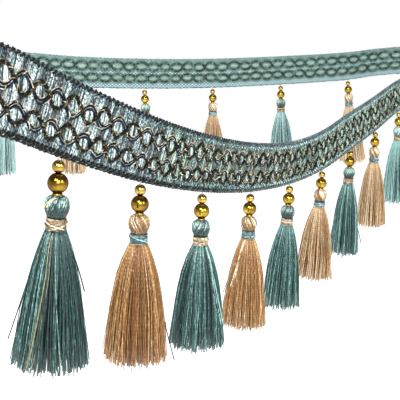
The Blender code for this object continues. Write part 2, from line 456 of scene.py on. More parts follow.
def yarn_finish(
    name, dark, middle, light, roughness=0.6, sheen=0.02, gloss=0.2, speckle=0.5, grain=(700, 700, 700)
):
    """Lustrous yarn: a tint for each strand, streaks of its fibres, its plies, and painted shade that
    darkens it in hollows.
    """
    finish = Finish(name, Roughness=roughness, Sheen_Weight=sheen, Specular_IOR_Level=gloss)
    tint = finish.attribute("tint")
    run = finish.attribute("run")
    sunk = finish.attribute("sunk")
    fibres = finish.add("ShaderNodeVectorMath", {"operation": "MULTIPLY"}, {0: finish.place(), 1: grain})
    streaks = finish.noise(fibres, 1.0)
    plies = run.wave(YARN_TWIST) * 0.5 + 0.5
    shade = tint * 0.72 + (streaks - 0.5) * speckle + plies * 0.06 + 0.1
    colour = finish.ramp(shade, (0.12, dye(*dark)), (0.50, dye(*middle)), (0.88, dye(*light)))
    # Painted shade: the colour darkens towards the dark dye by the per-point shade attribute, in hollows
    # and crevices
    hollow_shade = finish.mix(sunk, colour, dye(*dark))
    return finish.show(Base_Color=hollow_shade, Normal=finish.bump(plies, 0.1 * MM, 0.35))


def uneven(knots, amount):
    """A smooth random change along the route, with one value for each knot."""
    values = chance.normal(0, amount, len(knots))
    return lambda along: np.interp(along, knots, values)


class Chain:
    """One row of the chain: how far down the face its ribbon and its rope lie at each distance."""

    def __init__(self, crests, ribbon_middle, ribbon_swing, rope_middle, rope_swing):
        near = np.array(crests) * MM
        far = np.arange(FAR_CREST, route.length + 2 * FAR_PERIOD, FAR_PERIOD)
        between = np.linspace(near[-1], far[0], round((far[0] - near[-1]) / CHAIN_PERIOD), endpoint=False)
        more = np.concatenate([between[1:], far])
        self.crests = np.concatenate([near, more + chance.normal(0, CREST_UNEVEN, len(more))])
        halves = np.arange(-CHAIN_PERIOD, route.length + CHAIN_PERIOD, CHAIN_PERIOD / 2)
        self.ribbon_line = (ribbon_middle * BRAID_WIDTH, ribbon_swing * BRAID_WIDTH)
        self.rope_line = (rope_middle * BRAID_WIDTH, rope_swing * BRAID_WIDTH)
        self.ribbon_off = uneven(halves, RIBBON_STRAY)
        self.rope_off = uneven(halves, ROPE_STRAY)

    def turn(self, along):
        """The wave of the row, from 1 on a crest to -1 half way to the next."""
        return np.cos(math.tau * np.interp(along, self.crests, np.arange(len(self.crests))))

    def ribbon(self, along):
        middle, swing = self.ribbon_line
        return middle - swing * self.turn(along) + self.ribbon_off(along)

    def rope(self, along):
        middle, swing = self.rope_line
        return middle + swing * self.turn(along) + self.rope_off(along)

    def crossing(self, along):
        """How near a place is to where ribbon and rope cross, up to 1."""
        return np.exp(-(((self.ribbon(along) - self.rope(along)) / CROSSING_REACH) ** 2))


CORD_YARNS = {
    "cream": yarn_finish("cream_yarn", (62, 54, 38), (158, 148, 116), (244, 240, 218), speckle=2.2),
    "black": yarn_finish("black_yarn", (3, 5, 7), (8, 11, 14), (30, 36, 42), gloss=0.1),
    "lilac": yarn_finish("lilac_yarn", (70, 80, 100), (160, 170, 184), (238, 242, 248), speckle=1.6),
    "navy": yarn_finish("navy_yarn", (3, 6, 11), (8, 16, 27), (38, 60, 90), gloss=0.1, speckle=1.4),
    "brown": yarn_finish(
        "brown_yarn", (8, 6, 4), (30, 22, 14), (128, 102, 72), gloss=0.1, speckle=1.8, grain=(1500,) * 3
    ),
    "gold": yarn_finish("gold_yarn", (20, 18, 10), (96, 88, 58), (206, 192, 140), speckle=2.4),
    "olive": yarn_finish(
        "olive_yarn", (6, 9, 7), (20, 25, 19), (140, 146, 120), gloss=0.1, speckle=2.2, grain=(1500,) * 3
    ),
    "slate": yarn_finish("slate_yarn", (12, 18, 20), (84, 104, 110), (196, 214, 220), speckle=2.4),
}
chains = [Chain(*row) for row in CHAIN_ROWS]
chain_pieces = []
ribbon_along = np.arange(0, route.length, RIBBON_STEP)
rope_along = np.arange(0, route.length, ROPE_STEP)
for row, chain in enumerate(chains, 1):
    for yarn, radius, across in RIBBON:
        down = chain.ribbon(ribbon_along) + across * MM
        down = down + uneven(ribbon_along[::5], STRAND_STRAY)(ribbon_along)
        if row == 2 and yarn == "cream":
            down = down - SLACK_RISE * np.exp(-(((ribbon_along - SLACK_PLACE) / SLACK_REACH) ** 2))
        out = CORD_FACE - CROSSING_DIP * chain.crossing(ribbon_along)
        path = route.lay(ribbon_along, down, out)
        fill = np.interp(ribbon_along, *CREAM_FILL) if yarn == "cream" else 1.0
        strand = lay_strands(f"chain_{row}_{yarn}", [path], [radius * MM * fill], [0.5], CORD_YARNS[yarn])
        chain_pieces.append(strand)
    for yarn, start in (("brown", 0.0), ("olive", math.tau / 3), ("black", math.tau * 2 / 3)):
        angle = rope_along * math.tau / ROPE_PITCH + start
        down = chain.rope(rope_along) + ROPE_PLY * np.cos(angle)
        meeting = chain.crossing(rope_along)
        out = CORD_FACE - ROPE_BACK + CROSSING_LIFT * meeting + ROPE_PLY * np.sin(angle)
        path = route.lay(rope_along, down, out)
        thickness = CROSSING_THICKNESS[0] + CROSSING_THICKNESS[1] * meeting
        radii = ROPE_PLY * np.interp(rope_along, *ROPE_FILL) * thickness
        radii = radii + uneven(rope_along[::3], ROPE_UNEVEN)(rope_along)
        tint = CROSSING_TINT[0] + CROSSING_TINT[1] * meeting
        strand = lay_strands(f"rope_{row}_{yarn}", [path], [radii], [tint], CORD_YARNS[yarn])
        chain_pieces.append(strand)
    for yarn, cord, reach, pitch in WISPS:
        line = chain.rope if cord == "rope" else chain.ribbon
        wander = ribbon_along * math.tau / (pitch * MM) + uneven(ribbon_along[::12], 1.0)(ribbon_along)
        down = line(ribbon_along) + reach * MM * np.sin(wander)
        out = CORD_FACE + WISP_LIFT + WISP_RISE * np.cos(wander * WISP_CURL)
        path = route.lay(ribbon_along, down, out)
        strand = lay_strands(f"wisp_{row}_{yarn}", [path], [WISP], [0.6], CORD_YARNS[yarn])
        chain_pieces.append(strand)
for piece in chain_pieces:
    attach(piece, "root")


# Satin puffs
# Soft satin yarns run up and down the face side by side. The cords hold them down, so that they
# swell into rounded puffs in the ovals, between the rows and along both edges.
PUFF_PITCH = 1.22 * MM
PUFF_YARN = 0.47 * MM
PUFF_LOW = 0.45 * MM
PUFF_HIGH = 1.25 * MM
PUFF_FULL_GAP = 8.0 * MM
PUFF_MARGIN = 0.6 * MM
PUFF_LEAN = 0.8 * MM
PUFF_STRAY = 0.12 * MM
PUFF_BUMPY = 0.08 * MM
PUFF_UNEVEN = 0.03 * MM
PUFF_SPREAD = 0.28
PUFF_SHARES = (0.25, 0.75)
# How much painted shade the satin gets where the cords hold it down, the share of its yarns that have
# fallen in between their neighbours, and how far these have fallen, which also sets their painted shade
PUFF_HELD_SHADE = 0.9
PUFF_FALLEN = 0.20
PUFF_FALL = 0.85
# Painted shade on the satin where a crest of the cords narrows the band beside it
TUFT_PAINTED_SHADE = 0.85
# Distance along the braid in metres, and how much painted shade the satin gets under the hem stitches
HEM_PAINTED_SHADE = ((0.12, 0.30, 0.60), (0.0, 0.75, 0.55))
# Distance along the braid in metres, and how light the satin is there
PUFF_TONES = ((0.0, 0.16, 0.30, 0.40, 0.60), (0.66, 0.62, 0.44, 0.38, 0.56))
# The hems are the outer parts of the first and the last band of the face
HEM_PLACES = ((0, PUFF_SHARES[0]), (4, PUFF_SHARES[1]))


def puff_path(along):
    """One satin yarn from the upper edge to the lower one, under every cord that it meets, with its painted
    shade.
    """
    holds = np.concatenate([[PUFF_MARGIN], *(sorted((c.ribbon(along), c.rope(along))) for c in chains)])
    holds = np.append(holds, BRAID_WIDTH - PUFF_MARGIN)
    downs, outs, sunk = [holds[0]], [PUFF_LOW], [PUFF_HELD_SHADE]
    fallen = PUFF_FALL if chance.random() < PUFF_FALLEN else 0.0
    for band, (upper, lower) in enumerate(zip(holds, holds[1:])):
        gap = lower - upper
        swell = min(1.0, gap / PUFF_FULL_GAP)
        crest = chains[band // 3].turn(along) ** 2
        hollow_shade = 0.0 if band % 2 else TUFT_PAINTED_SHADE * crest
        for share in PUFF_SHARES:
            downs.append(upper + gap * share)
            rounding = 1 - (2 * share - 1) ** 4
            outs.append(PUFF_LOW + (PUFF_HIGH - PUFF_LOW) * swell * (1 - fallen) * rounding)
            hem_shade = np.interp(along, *HEM_PAINTED_SHADE) if (band, share) in HEM_PLACES else 0.0
            # Painted shade: darkest where the satin is held down, fallen in, hollow beside a crest or under
            # the hem stitches
            sunk.append(max(fallen, hollow_shade, hem_shade, PUFF_HELD_SHADE * (1 - swell) ** 1.5))
        downs.append(lower)
        outs.append(PUFF_LOW)
        sunk.append(1.0)
    downs = np.array(downs)
    lean = PUFF_LEAN * np.sin(math.tau * downs / BRAID_WIDTH * 2.5)
    lean = lean + chance.normal(0, PUFF_STRAY, len(downs))
    outs = np.array(outs) + chance.normal(0, PUFF_BUMPY, len(outs))
    return route.lay(np.clip(along + lean, 0, route.length), downs, outs), np.array(sunk)


def satin_finish(name, dark, middle, light):
    """Glossy satin, with streaks that run up and down the face."""
    return yarn_finish(name, dark, middle, light, 0.38, 0.03, 0.4, 2.6, (2700, 2700, 560))


mint_satin = satin_finish("mint_satin", (12, 24, 30), (84, 120, 120), (242, 254, 254))
sage_satin = satin_finish("sage_satin", (12, 24, 22), (72, 106, 94), (214, 236, 222))
sea_satin = satin_finish("sea_satin", (8, 28, 24), (70, 122, 106), (206, 248, 232))
# Stretch of the braid, from and to in metres, and its satin
puff_stretches = (
    (0.00, 0.18, mint_satin),
    (0.18, 0.44, sage_satin),
    (0.44, 1.05, sea_satin),
    (1.05, 1.60, mint_satin),
)
puff_along = np.arange(PUFF_PITCH, route.length - PUFF_PITCH, PUFF_PITCH)
for part, (start, end, satin) in enumerate(puff_stretches, 1):
    stretch = puff_along[(puff_along >= start) & (puff_along < end)]
    paths, hollow_shades = zip(*(puff_path(along) for along in stretch))
    radii = chance.normal(PUFF_YARN, PUFF_UNEVEN, len(paths))
    tints = np.clip(chance.normal(np.interp(stretch, *PUFF_TONES), PUFF_SPREAD), 0, 1)
    puffs = lay_strands(f"satin_puffs_{part}", paths, radii, tints, satin, hollow_shades)
    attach(puffs, "root")


# Edge cords
# A hard dark cord of two plies is worked along each edge of the braid, with a thin pale thread in
# its lay, and gives the edge its beaded line.
EDGE_PITCH = 8.4 * MM
EDGE_STEP = 0.9 * MM
EDGE_PLY = 0.78 * MM
EDGE_THREAD = 0.22 * MM
EDGE_FACE = 0.3 * MM
EDGE_BEADING = 0.52
# How far out the plies and the pale thread lie, in plies' radii
EDGE_PLY_OUT = 1.1
EDGE_THREAD_OUT = 1.35
# Distance along the braid in metres, how full the plies are there and how light their yarn is
EDGE_FILL = ((0.18, 0.42), (1.0, 0.72))
EDGE_LIGHT = ((0.15, 0.42), (0.25, 0.85))
# The pale thread fills out between these distances, in metres
EDGE_THREAD_PLACES = (0.22, 0.42)
# Edge, its middle line down the face, and how full its pale thread gets
EDGE_LINES = (("upper", 1.2 * MM, 3.0), ("lower", BRAID_WIDTH, 2.8))
edge_yarn = yarn_finish("edge_yarn", (3, 5, 7), (18, 26, 30), (84, 112, 116), gloss=0.1, speckle=1.2)
edge_along = np.arange(0, route.length, EDGE_STEP)
edge_pieces = []
for edge, middle, fullest in EDGE_LINES:
    for yarn, radius, start in (
        (edge_yarn, EDGE_PLY, 0.0),
        (edge_yarn if edge == "upper" else CORD_YARNS["olive"], EDGE_PLY, math.pi),
        (CORD_YARNS["slate"], EDGE_THREAD, math.pi / 2),
    ):
        angle = edge_along * math.tau / EDGE_PITCH + start
        fine = yarn is CORD_YARNS["slate"]
        fill = np.interp(edge_along, *EDGE_FILL)
        spread = EDGE_PLY * fill * (EDGE_THREAD_OUT if fine else EDGE_PLY_OUT)
        down = middle + spread * np.cos(angle)
        path = route.lay(edge_along, down, EDGE_FACE + spread * np.sin(angle))
        beading = radius * (1 + EDGE_BEADING * np.cos(2 * angle))
        beading = beading * (np.interp(edge_along, EDGE_THREAD_PLACES, (1.0, fullest)) if fine else fill)
        name = f"edge_{edge}_{len(edge_pieces) + 1}"
        tint = 0.4 if fine else np.interp(edge_along, *EDGE_LIGHT)
        cord = lay_strands(name, [path], [beading], [tint], yarn)
        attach(cord, "root")
        edge_pieces.append(cord)


# Hem stitches
# Inside each edge cord a fine pale thread is worked to and fro in small stitches that catch the
# satin. It shows most along the lower hem.
STITCH_PITCH = 5.8 * MM
STITCH_THREAD = 0.30 * MM
STITCH_LEAN = 0.5 * MM
STITCH_FACE = PUFF_HIGH + 0.35 * MM
# Distance along the braid in metres, and how full the thread lies and how light it is there
STITCH_FILL = ((0.12, 0.35), (0.8, 1.35))
STITCH_LIGHT = ((0.1, 0.4), (0.25, 0.62))
# Hem, the middle line of its stitches down the face, and how far they reach to each side
STITCH_LINES = (("upper", 3.6 * MM, 1.0 * MM), ("lower", 29.7 * MM, 1.6 * MM))
stitch_along = np.arange(STITCH_PITCH / 4, route.length - STITCH_PITCH, STITCH_PITCH / 4)
pale_blue = yarn_finish("pale_blue_yarn", (18, 36, 40), (102, 138, 142), (222, 246, 246), speckle=2.2)
for edge, middle, reach in STITCH_LINES:
    stitch = np.sin(stitch_along * math.tau / STITCH_PITCH)
    path = route.lay(stitch_along + STITCH_LEAN * stitch, middle + reach * stitch, STITCH_FACE)
    radii = STITCH_THREAD * np.interp(stitch_along, *STITCH_FILL)
    tint = np.interp(stitch_along, *STITCH_LIGHT)
    stitches = lay_strands(f"stitches_{edge}", [path], [radii], [tint], pale_blue)
    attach(stitches, "root")


# Reverse of the braid
# The reverse shows the same chain as two rows of flat sage rings in dark green cord on a ribbed
# satin, with a plain band above and a bluer one along the lower edge.
REVERSE_COLUMNS = 900
REVERSE_ROWS = 20
REVERSE_FACE = -0.62 * MM
REVERSE_SWELL = 0.55 * MM
REVERSE_RIB = 1.1 * MM
REVERSE_PICK = 1.6 * MM
REVERSE_CORD = 1.45 * MM
REVERSE_UNEVEN = 0.16 * MM
REVERSE_THINNEST = 0.7 * MM
REVERSE_THICKEST = 2.1 * MM
CORD_BACK = 0.15 * MM
# How much higher the rings sit than on the face, and how full their waves are (1 is a plain wave)
REVERSE_RISE = 2.1 * MM
REVERSE_ROUND = 0.55
# How far the pale middle of a ring and the painted shade beside a cord reach
REVERSE_REACH = 2.4 * MM
REVERSE_HALO = 4.0 * MM
# Pitch of the pale dots along the braid and down it
DOT_PITCHES = (4.2 * MM, 3.2 * MM)
# Shares of the width between which the lower band and the strip between the rows begin and end
LOWER_BAND = (0.84, 0.88)
MIDDLE_STRIP = (0.44, 0.49, 0.54)
BLACK = (0, 0, 0, 1)


def reverse_lines(chain, along):
    """The ribbon's and the rope's line as they show on the reverse, where the rings are rounder."""
    middle = chain.ribbon_line[0]
    lines = []
    swings = (chain.ribbon_line[1], chain.rope_line[1])
    for line, swing in zip((chain.ribbon(along), chain.rope(along)), swings):
        wave = (line - middle) / swing
        lines.append(middle + swing * np.sign(wave) * np.abs(wave) ** REVERSE_ROUND - REVERSE_RISE)
    return lines


def in_oval(along, down):
    """How far a place lies inside a ring, from 0 at its cords to 1 at its middle."""
    depths = []
    for chain in chains:
        lines = np.sort(reverse_lines(chain, along), axis=0)
        depths.append(np.minimum(down - lines[0], lines[1] - down))
    return np.clip(np.max(depths, axis=0) / REVERSE_REACH, 0, 1)


def off_cords(along, down):
    """How clear of the cords a place on the reverse is, from 0 on a cord to 1."""
    gaps = [np.abs(down - line) for chain in chains for line in reverse_lines(chain, along)]
    return np.clip(np.min(gaps, axis=0) / REVERSE_HALO, 0, 1)


def reverse_height(along, down):
    """How far the reverse stands back: it swells between the cords and dips under them."""
    return REVERSE_FACE - REVERSE_SWELL * off_cords(along, down)


def reverse_finish():
    """Ribbed satin: sage, paler in the rings and bluer along the lower edge, with fine pale dots and
    painted shade beside the cords.
    """
    finish = Finish("braid_reverse", Roughness=0.5, Sheen_Weight=0.3)
    uv = finish.tape()
    along = finish.part(uv, "X")
    down = finish.part(uv, "Y")
    ribs = along.wave(REVERSE_RIB) * 0.5 + 0.5
    picks = down.wave(REVERSE_PICK) * 0.5 + 0.5
    patches = finish.noise(uv, 420.0, 3.0)
    sage = finish.ramp(
        patches * 0.75 + ribs * 0.15 + picks * 0.1,
        (0.25, dye(42, 72, 66)),
        (0.50, dye(74, 104, 98)),
        (0.75, dye(130, 160, 153)),
    )
    share = down * (1 / BRAID_WIDTH)
    lower_band = finish.ramp(share, *zip(LOWER_BAND, (BLACK, WHITE)))
    middle_strip = finish.ramp(share, *zip(MIDDLE_STRIP, (BLACK, WHITE, BLACK)))
    banded = finish.mix(lower_band * 0.8, sage, dye(84, 114, 120))
    dots = along.wave(DOT_PITCHES[0]) * down.wave(DOT_PITCHES[1])
    dotting = dots * (lower_band * 1.1 + middle_strip + 0.3) + middle_strip * 0.3
    dotted = finish.mix(dotting, banded, dye(172, 202, 204))
    in_rings = finish.attribute("oval") * (patches * 2.4 - 0.75)
    paler = finish.mix(in_rings, dotted, dye(156, 184, 170))
    # Painted shade beside the cords, broken up by the patches
    by_cords = finish.attribute("sunk") * (patches * 2.4 - 0.10)
    shaded = finish.mix(by_cords, paler, dye(34, 58, 48))
    return finish.show(Base_Color=shaded, Normal=finish.bump(ribs + picks * 0.5, 0.25 * MM, 0.5))


bm = tape_grid(route, REVERSE_COLUMNS, REVERSE_ROWS, reverse_height)
bmesh.ops.reverse_faces(bm, faces=bm.faces[:])
reverse = link_mesh("braid_reverse", bm, reverse_finish())
tape = np.zeros(2 * len(reverse.data.loops))
reverse.data.uv_layers["tape"].data.foreach_get("uv", tape)
corners = np.zeros(len(reverse.data.loops), int)
reverse.data.loops.foreach_get("vertex_index", corners)
along, down = tape.reshape(-1, 2).T
# Per vertex: the painted shade beside the cords, and how far inside a ring each place lies
for name, values in (("sunk", 1 - off_cords(along, down)), ("oval", in_oval(along, down))):
    per_vertex = np.zeros(len(reverse.data.vertices))
    per_vertex[corners] = values
    reverse.data.attributes.new(name, "FLOAT", "POINT").data.foreach_set("value", per_vertex)
green = yarn_finish("green_yarn", (16, 32, 26), (44, 68, 60), (104, 132, 122), speckle=1.2)
reverse_pieces = [reverse]
for row, chain in enumerate(chains, 1):
    for side, down in zip("ab", reverse_lines(chain, ribbon_along)):
        path = route.lay(ribbon_along, down, REVERSE_FACE - CORD_BACK)
        radii = chance.normal(REVERSE_CORD, REVERSE_UNEVEN, len(path))
        radii = radii * (0.8 + 0.4 * chain.crossing(ribbon_along))
        radii = np.clip(radii, REVERSE_THINNEST, REVERSE_THICKEST)
        tint = np.clip(chance.normal(0.45, 0.30, len(path)), 0, 1)
        cord = lay_strands(f"reverse_{row}_{side}", [path], [radii], [tint], green)
        reverse_pieces.append(cord)
for piece in reverse_pieces:
    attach(piece, "root")


# Bead strings
# Two grey threads are sewn into the lower edge and carry a small and a big gilt bead and a gilt
# collar down to the tassel's head.
SMALL_BEAD = 6.0 * MM
BIG_BEAD = 9.5 * MM
BEAD_HOLE = 1.0 * MM
SMALL_CENTRE = -5.8 * MM
BIG_CENTRE = -13.25 * MM
COLLAR_CENTRE = -18.4 * MM
COLLAR_HALF = 0.7 * MM
COLLAR_RADIUS = 2.4 * MM
COLLAR_RIM = COLLAR_RADIUS * 0.9
# Section of the collar: radius, and its height in halves of the collar
COLLAR_SECTION = ((BEAD_HOLE, -1), (COLLAR_RIM, -1), (COLLAR_RADIUS, 0), (COLLAR_RIM, 1), (BEAD_HOLE, 1))
BEAD_SIDES = 28
BEAD_ARC = 14
# The first two strings get a darker copy of the gilt, as painted shade
SHADED_GILT_STRINGS = 2
THREAD_RADIUS = 0.30 * MM
THREAD_PITCH = 6.0 * MM
# The threads run from inside the braid down into the head: heights in mm
THREAD_FALL = np.linspace(2.0, -20.5, 24)
THREAD_TINTS = [0.35, 0.7]


def gilt_finish(name, deep, bright):
    """Bright gilt lacquer over moulded beads, a little clouded, with fine scuffs in the gloss."""
    tint = dye(150, 118, 40)
    finish = Finish(name, Metallic=1.0, Specular_Tint=tint, Coat_Weight=0.3, Coat_Roughness=0.05)
    clouds = finish.noise(finish.place(), 180.0, 3.0)
    scuffs = finish.noise(finish.place(), 1400.0, 3.0)
    colour = finish.ramp(clouds, (0.3, dye(*deep)), (0.7, dye(*bright)))
    rough = scuffs * 0.16 + 0.06
    return finish.show(Base_Color=colour, Roughness=rough, Normal=finish.bump(scuffs, 0.05 * MM, 0.15))


def spin_section(bm, section, sides):
    """Draw a closed section through its radii and heights, and spin it once round the thread."""
    points = [bm.verts.new((radius, 0, height)) for radius, height in section]
    edges = [bm.edges.new(pair) for pair in zip(points, points[1:] + points[:1])]
    bmesh.ops.spin(
        bm, geom=points + edges, axis=(0, 0, 1), cent=(0, 0, 0), angle=math.tau, steps=sides, use_merge=True
    )


def bead_section(centre, radius):
    """The section of a bored bead: an arc that starts and ends at the bore."""
    start = math.asin(BEAD_HOLE / radius)
    angles = np.linspace(start, math.pi - start, BEAD_ARC)
    return [(radius * math.sin(angle), centre + radius * math.cos(angle)) for angle in angles]


class Hanging:
    """The place of one bead string and its tassel, from which they hang down along their own -Z."""

    def __init__(self, number, row):
        distance = route.along[ROUTE.index(row) * SPAN_STEPS]
        self.name = f"{number:02d}"
        self.odd = number % 2 == 1
        self.skirt = row[5] * MM
        self.place = route.lay(distance, BRAID_WIDTH, 0.0)
        self.turn = np.array(Matrix.Rotation(-math.radians(row[4]), 3, "Y"))
        self.matrix = Matrix.Translation(self.place) @ Matrix.Rotation(-math.radians(row[4]), 4, "Y")

    def lay(self, points):
        return points @ self.turn.T + self.place

    def wind(self, radius, angle, height):
        """A path round the thread's own line, by angle and height."""
        return self.lay(np.column_stack([radius * np.cos(angle), radius * np.sin(angle), height]))


tassel_rows = [row for row in ROUTE if row[4] is not None]
hangings = [Hanging(number, row) for number, row in enumerate(tassel_rows, 1)]
# A darker copy of the same gilt, painted shade for the first strings
shaded_gilt = gilt_finish("shaded_gilt", (90, 60, 8), (144, 114, 28))
bright_gilt = gilt_finish("bright_gilt", (120, 90, 16), (186, 156, 48))
pale_gilt = gilt_finish("pale_gilt", (140, 112, 40), (196, 168, 86))
grey_thread = yarn_finish("grey_thread", (140, 142, 146), (196, 198, 200), (236, 236, 238))
for number, hanging in enumerate(hangings, 1):
    gilt = shaded_gilt if number <= SHADED_GILT_STRINGS else bright_gilt
    bm = bmesh.new()
    spin_section(bm, bead_section(SMALL_CENTRE, SMALL_BEAD / 2), BEAD_SIDES)
    collar = [(radius, COLLAR_CENTRE + side * COLLAR_HALF) for radius, side in COLLAR_SECTION]
    spin_section(bm, collar, BEAD_SIDES)
    for face in bm.faces:
        face.material_index = 1
    spin_section(bm, bead_section(BIG_CENTRE, BIG_BEAD / 2), BEAD_SIDES)
    bmesh.ops.recalc_face_normals(bm, faces=bm.faces)
    bm.transform(hanging.matrix)
    beads = link_mesh(f"beads_{hanging.name}_gilt", bm, gilt, pale_gilt)
    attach(beads, "root")
    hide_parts(f"beads_{hanging.name}")
    fall = THREAD_FALL * MM
    paths = []
    for start in (0.0, math.pi):
        angle = fall / THREAD_PITCH * math.tau + start
        paths.append(hanging.wind(THREAD_RADIUS * 1.1, angle, fall))
    threads = lay_strands(f"thread_{hanging.name}", paths, [THREAD_RADIUS] * 2, THREAD_TINTS, grey_thread)
    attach(threads, "root")


# Tassel heads
# Each head is a bundle of satin yarn turned down over itself into a ball, so its yarns run over
# the ball on a slant, from the collar to the neck.
HEAD_YARNS = 46
HEAD_YARN = 0.43 * MM
HEAD_UNEVEN = 0.06 * MM
HEAD_SWAY = 0.02
# How far round the head each yarn goes, in radians: one way in teal heads, the other in champagne
HEAD_SLANT = 1.3
# Down the head: radius and height in mm
HEAD_LINE = MM * np.array((
    (1.4, -19.0),
    (3.2, -19.3),
    (4.6, -20.4),
    (5.2, -22.3),
    (5.2, -24.3),
    (4.8, -26.0),
    (4.1, -27.5),
    (3.6, -29.2),
))
HEAD_CORE = 0.90
CORE_SIDES = 20
# How light the yarn of each tassel is, from the near end of the braid
TONES = (
    0.17, 0.36, 0.32, 0.46, 0.46, 0.60, 0.50, 0.62, 0.84,
    0.60, 0.66, 0.78, 0.74, 0.58, 0.74, 0.84, 1.00,
)
# Painted highlight on the upper half of the ball and painted shade towards the neck
HEAD_SHINE = np.array((0.00, 0.20, 0.45, 0.40, 0.05, -0.25, -0.40, -0.45))
CHAMPAGNE_SHINE = HEAD_SHINE * 0.7 - 0.22
# How much lighter or darker than their skirts the teal heads are; the back ones follow the eleventh
HEAD_LIFTS = {"first": 0.04, "near": -0.16, "back": -0.38}
FIRST_BACK = 11
# How much the yarns of one head differ
TEAL_SPREAD = 0.24
CHAMPAGNE_SPREAD = 0.34


def tassel_finish(name, dark, middle, light, speckle=1.0):
    """Satin yarn of the tassels, with fine streaks that run down it."""
    return yarn_finish(name, dark, middle, light, 0.34, 0.03, 0.5, speckle, (2400, 2400, 260))


teal_yarn = tassel_finish("teal_yarn", (10, 30, 31), (50, 90, 85), (166, 212, 206))
pale_teal = tassel_finish("pale_teal", (24, 48, 48), (74, 112, 109), (188, 222, 219))
slate_teal = tassel_finish("slate_teal", (14, 32, 32), (60, 90, 86), (186, 214, 206), 1.6)
grey_teal = tassel_finish("grey_teal", (28, 44, 40), (82, 106, 96), (182, 206, 194), 1.4)
champagne_yarn = tassel_finish("champagne_yarn", (88, 52, 18), (160, 114, 60), (238, 212, 172))
sand_yarn = tassel_finish("sand_yarn", (88, 56, 23), (160, 119, 71), (238, 217, 181))
pale_champagne = tassel_finish("pale_champagne", (92, 62, 30), (158, 128, 84), (252, 242, 216), 1.2)
for hanging, tone in zip(hangings, TONES):
    hanging.tone = tone
    place = "first" if hanging is hangings[0] else "back" if hanging in hangings[FIRST_BACK:] else "near"
    teal = grey_teal if place == "back" else slate_teal
    yarn, slot = (teal, "teal_yarn") if hanging.odd else (pale_champagne, "champagne_yarn")
    paths = []
    for start in np.linspace(0, math.tau, HEAD_YARNS, endpoint=False):
        angle = start + HEAD_SLANT * np.linspace(0, 1, len(HEAD_LINE)) * (-1 if hanging.odd else 1)
        angle = angle + chance.normal(0, HEAD_SWAY, len(HEAD_LINE))
        out = HEAD_LINE[:, 0] + chance.normal(0, HEAD_UNEVEN)
        paths.append(hanging.wind(out, angle, HEAD_LINE[:, 1]))
    # Painted highlight and shade down the ball, plus each teal head's lift in tone
    shine = HEAD_SHINE + HEAD_LIFTS[place] if hanging.odd else CHAMPAGNE_SHINE
    spread = TEAL_SPREAD if hanging.odd else CHAMPAGNE_SPREAD
    tints = np.clip(chance.normal(hanging.tone, spread, (HEAD_YARNS, 1)) + shine, 0, 1)
    head = lay_strands(f"head_{hanging.name}", paths, [HEAD_YARN] * HEAD_YARNS, tints, yarn)
    bm = bmesh.new()
    spin_section(bm, [(radius * HEAD_CORE, height) for radius, height in HEAD_LINE], CORE_SIDES)
    bmesh.ops.recalc_face_normals(bm, faces=bm.faces)
    bm.transform(hanging.matrix)
    core = link_mesh(f"head_{hanging.name}_core", bm, yarn)
    for piece in (head, core):
        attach(piece, "root")


# Neck bindings
# A fine lustrous thread of the other colour is wound round each neck in close turns, and its last
# turns cross the others on a slant to lock the end.
WIND_TURNS = 7.5
WIND_TOP = -28.8 * MM
WIND_LOW = -34.5 * MM
WIND_RADIUS = 4.45 * MM
WIND_THREAD = 0.42 * MM
WIND_STEPS = 20
# How light the bindings are, and how much this changes along them
FIRST_WIND_TINT = 0.28
WIND_TINT = 0.42
WIND_UNEVEN = 0.26
# Turn that locks the end: heights of its two ends in mm, where it starts in radians, how light it is
LOCK_TURNS = ((-29.2, -33.6, 0.6, 0.9), (-30.0, -34.2, 2.4, 0.2), (-34.0, -29.8, 1.2, 0.7))
LOCK_REACH = math.pi * 0.9
LOCK_STEPS = 14
champagne_thread = yarn_finish(
    "champagne_thread", (84, 62, 40), (146, 124, 92), (240, 228, 200), 0.34, 0.03, 0.6, 1.2
)
blue_thread = yarn_finish(
    "blue_thread", (36, 62, 68), (80, 114, 118), (190, 216, 214), 0.34, 0.03, 0.6, 1.6
)
for hanging in hangings:
    thread, slot = (champagne_thread, "champagne_thread") if hanging.odd else (blue_thread, "blue_thread")
    turns = np.linspace(0, WIND_TURNS, int(WIND_TURNS * WIND_STEPS))
    angle = turns * math.tau
    fall = WIND_TOP + (WIND_LOW - WIND_TOP) * turns / WIND_TURNS
    paths = [hanging.wind(WIND_RADIUS, angle, fall)]
    for top, low, start, tint in LOCK_TURNS:
        angle = np.linspace(start, start + LOCK_REACH, LOCK_STEPS) + chance.uniform(0, math.tau)
        fall = np.linspace(top, low, LOCK_STEPS) * MM
        paths.append(hanging.wind(WIND_RADIUS + WIND_THREAD * 1.2, angle, fall))
    radii = [WIND_THREAD] + [WIND_THREAD * 0.8] * len(LOCK_TURNS)
    wound = FIRST_WIND_TINT if hanging is hangings[0] else WIND_TINT
    tints = [wound + uneven(turns[::6], WIND_UNEVEN)(turns), *(row[3] for row in LOCK_TURNS)]
    winding = lay_strands(f"binding_{hanging.name}_thread", paths, radii, tints, thread)
    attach(winding, "root")
    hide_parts(f"binding_{hanging.name}")


# Skirts
# The skirt is the loose part of the same yarn, cut straight across and combed out. The yarns lie in
# locks, spread from the neck in a soft bell and end at slightly different lengths.
NEAR_SKIRTS = 4
NEAR_YARNS = (620, 0.23 * MM)
FAR_YARNS = (230, 0.37 * MM)
SKIRT_TOP = -33.5 * MM
SKIRT_LONG = 64.5 * MM
SKIRT_NECK = 4.3 * MM
SKIRT_STEPS = np.array([0.0, 0.06, 0.15, 0.28, 0.43, 0.60, 0.79, 1.0])
SKIRT_UNEVEN = 1.4 * MM
SKIRT_STRAY = 0.25 * MM
SKIRT_SWAY = 0.5 * MM
